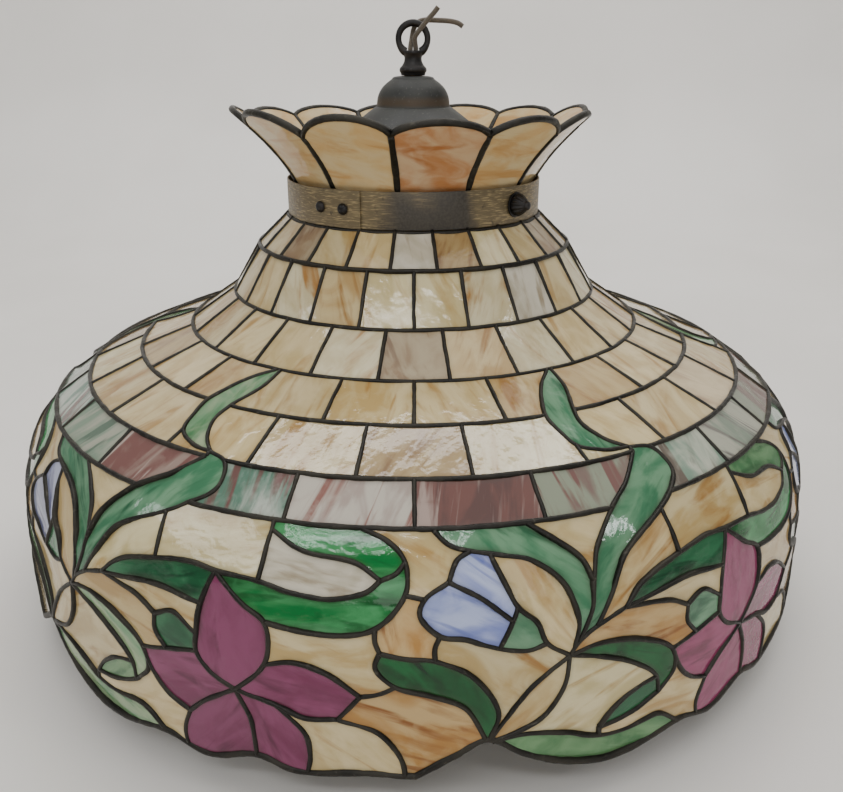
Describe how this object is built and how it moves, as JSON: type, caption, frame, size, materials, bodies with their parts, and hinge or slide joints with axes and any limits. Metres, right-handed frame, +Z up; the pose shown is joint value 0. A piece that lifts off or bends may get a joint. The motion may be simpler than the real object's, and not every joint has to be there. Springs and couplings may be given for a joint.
{
  "type": "pool table lamp",
  "caption": "Hanging leaded glass dome lamp with a floral skirt, a flared glass crown, a riveted neck band, a spun cap and a cast hanging loop.",
  "frame": {"origin": "on the lamp's upright axis, level with the lowest points of the rim", "axes": "+Z up along the axis of the dome, -Y towards the front; the eye of the loop faces -Y"},
  "size_m": [0.6096, 0.6096, 0.4162],
  "materials": {
    "opal_glass": "streaky cream and caramel opalescent glass, glossy, tarnished",
    "border_glass": "streaky green, white and wine-red opalescent glass",
    "floral_glass": "green, purple, blue and cream opalescent glass",
    "amber_glass": "bent amber opalescent glass",
    "lead_came": "soldered seams with a dark brown-black patina",
    "band_brass": "brass with worn antique patina",
    "cap_metal": "spun metal, dark grey-green patina",
    "black_metal": "blackened casting and fasteners",
    "bar_steel": "dull steel bar",
    "plain_brass": "dull aged brass",
    "porcelain": "glazed off-white porcelain",
    "cloth_cover": "frayed grey-brown braided cloth over wire"
  },
  "bodies": {
    "lamp": {"band_rivet_1": "black_metal", "band_rivet_2": "black_metal", "border_glass": "border_glass", "came_ring_1": "lead_came", "came_ring_2": "lead_came", "came_ring_3": "lead_came", "came_ring_4": "lead_came", "came_ring_5": "lead_came", "came_ring_6": "lead_came", "cap": "cap_metal", "cluster_body": "plain_brass", "cluster_cover": "plain_brass", "cluster_nut": "plain_brass", "crossbar": "bar_steel", "crossbar_nut": "plain_brass", "crown_lead": "lead_came", "crown_petal_01": "amber_glass", "crown_petal_02": "amber_glass", "crown_petal_03": "amber_glass", "crown_petal_04": "amber_glass", "crown_petal_05": "amber_glass", "crown_petal_06": "amber_glass", "crown_petal_07": "amber_glass", "crown_petal_08": "amber_glass", "crown_petal_09": "amber_glass", "crown_petal_10": "amber_glass", "crown_petal_11": "amber_glass", "crown_petal_12": "amber_glass", "glass_course_1": "opal_glass", "glass_course_2": "opal_glass", "glass_course_3": "opal_glass", "glass_course_4": "opal_glass", "glass_course_5": "opal_glass", "hanging_loop": "black_metal", "lead_a": "cloth_cover", "lead_a_hidden": "cloth_cover", "lead_b": "cloth_cover", "lead_b_hidden": "cloth_cover", "neck_band": "band_brass", "neck_came": "lead_came", "neck_ring": "plain_brass", "rim_came": "lead_came", "screw_washer_back": "black_metal", "screw_washer_front": "black_metal", "skirt_glass": "floral_glass", "socket_arm_1": "plain_brass", "socket_arm_2": "plain_brass", "socket_arm_3": "plain_brass", "socket_liner_1": "porcelain", "socket_liner_2": "porcelain", "socket_liner_3": "porcelain", "socket_shell_1": "plain_brass", "socket_shell_2": "plain_brass", "socket_shell_3": "plain_brass", "stem_pipe": "plain_brass"},
    "front_screw": {"thumb_screw_front": "black_metal"},
    "back_screw": {"thumb_screw_back": "black_metal"}
  },
  "joints": [
    {"name": "front_screw_turn", "type": "hinge", "parent": "lamp", "child": "front_screw", "pos_m": [0.07408, -0.06717, 0.286], "axis": [0.7408, -0.6717, 0], "continuous": true},
    {"name": "back_screw_turn", "type": "hinge", "parent": "lamp", "child": "back_screw", "pos_m": [-0.07408, 0.06717, 0.286], "axis": [-0.7408, 0.6717, 0], "continuous": true}
  ]
}
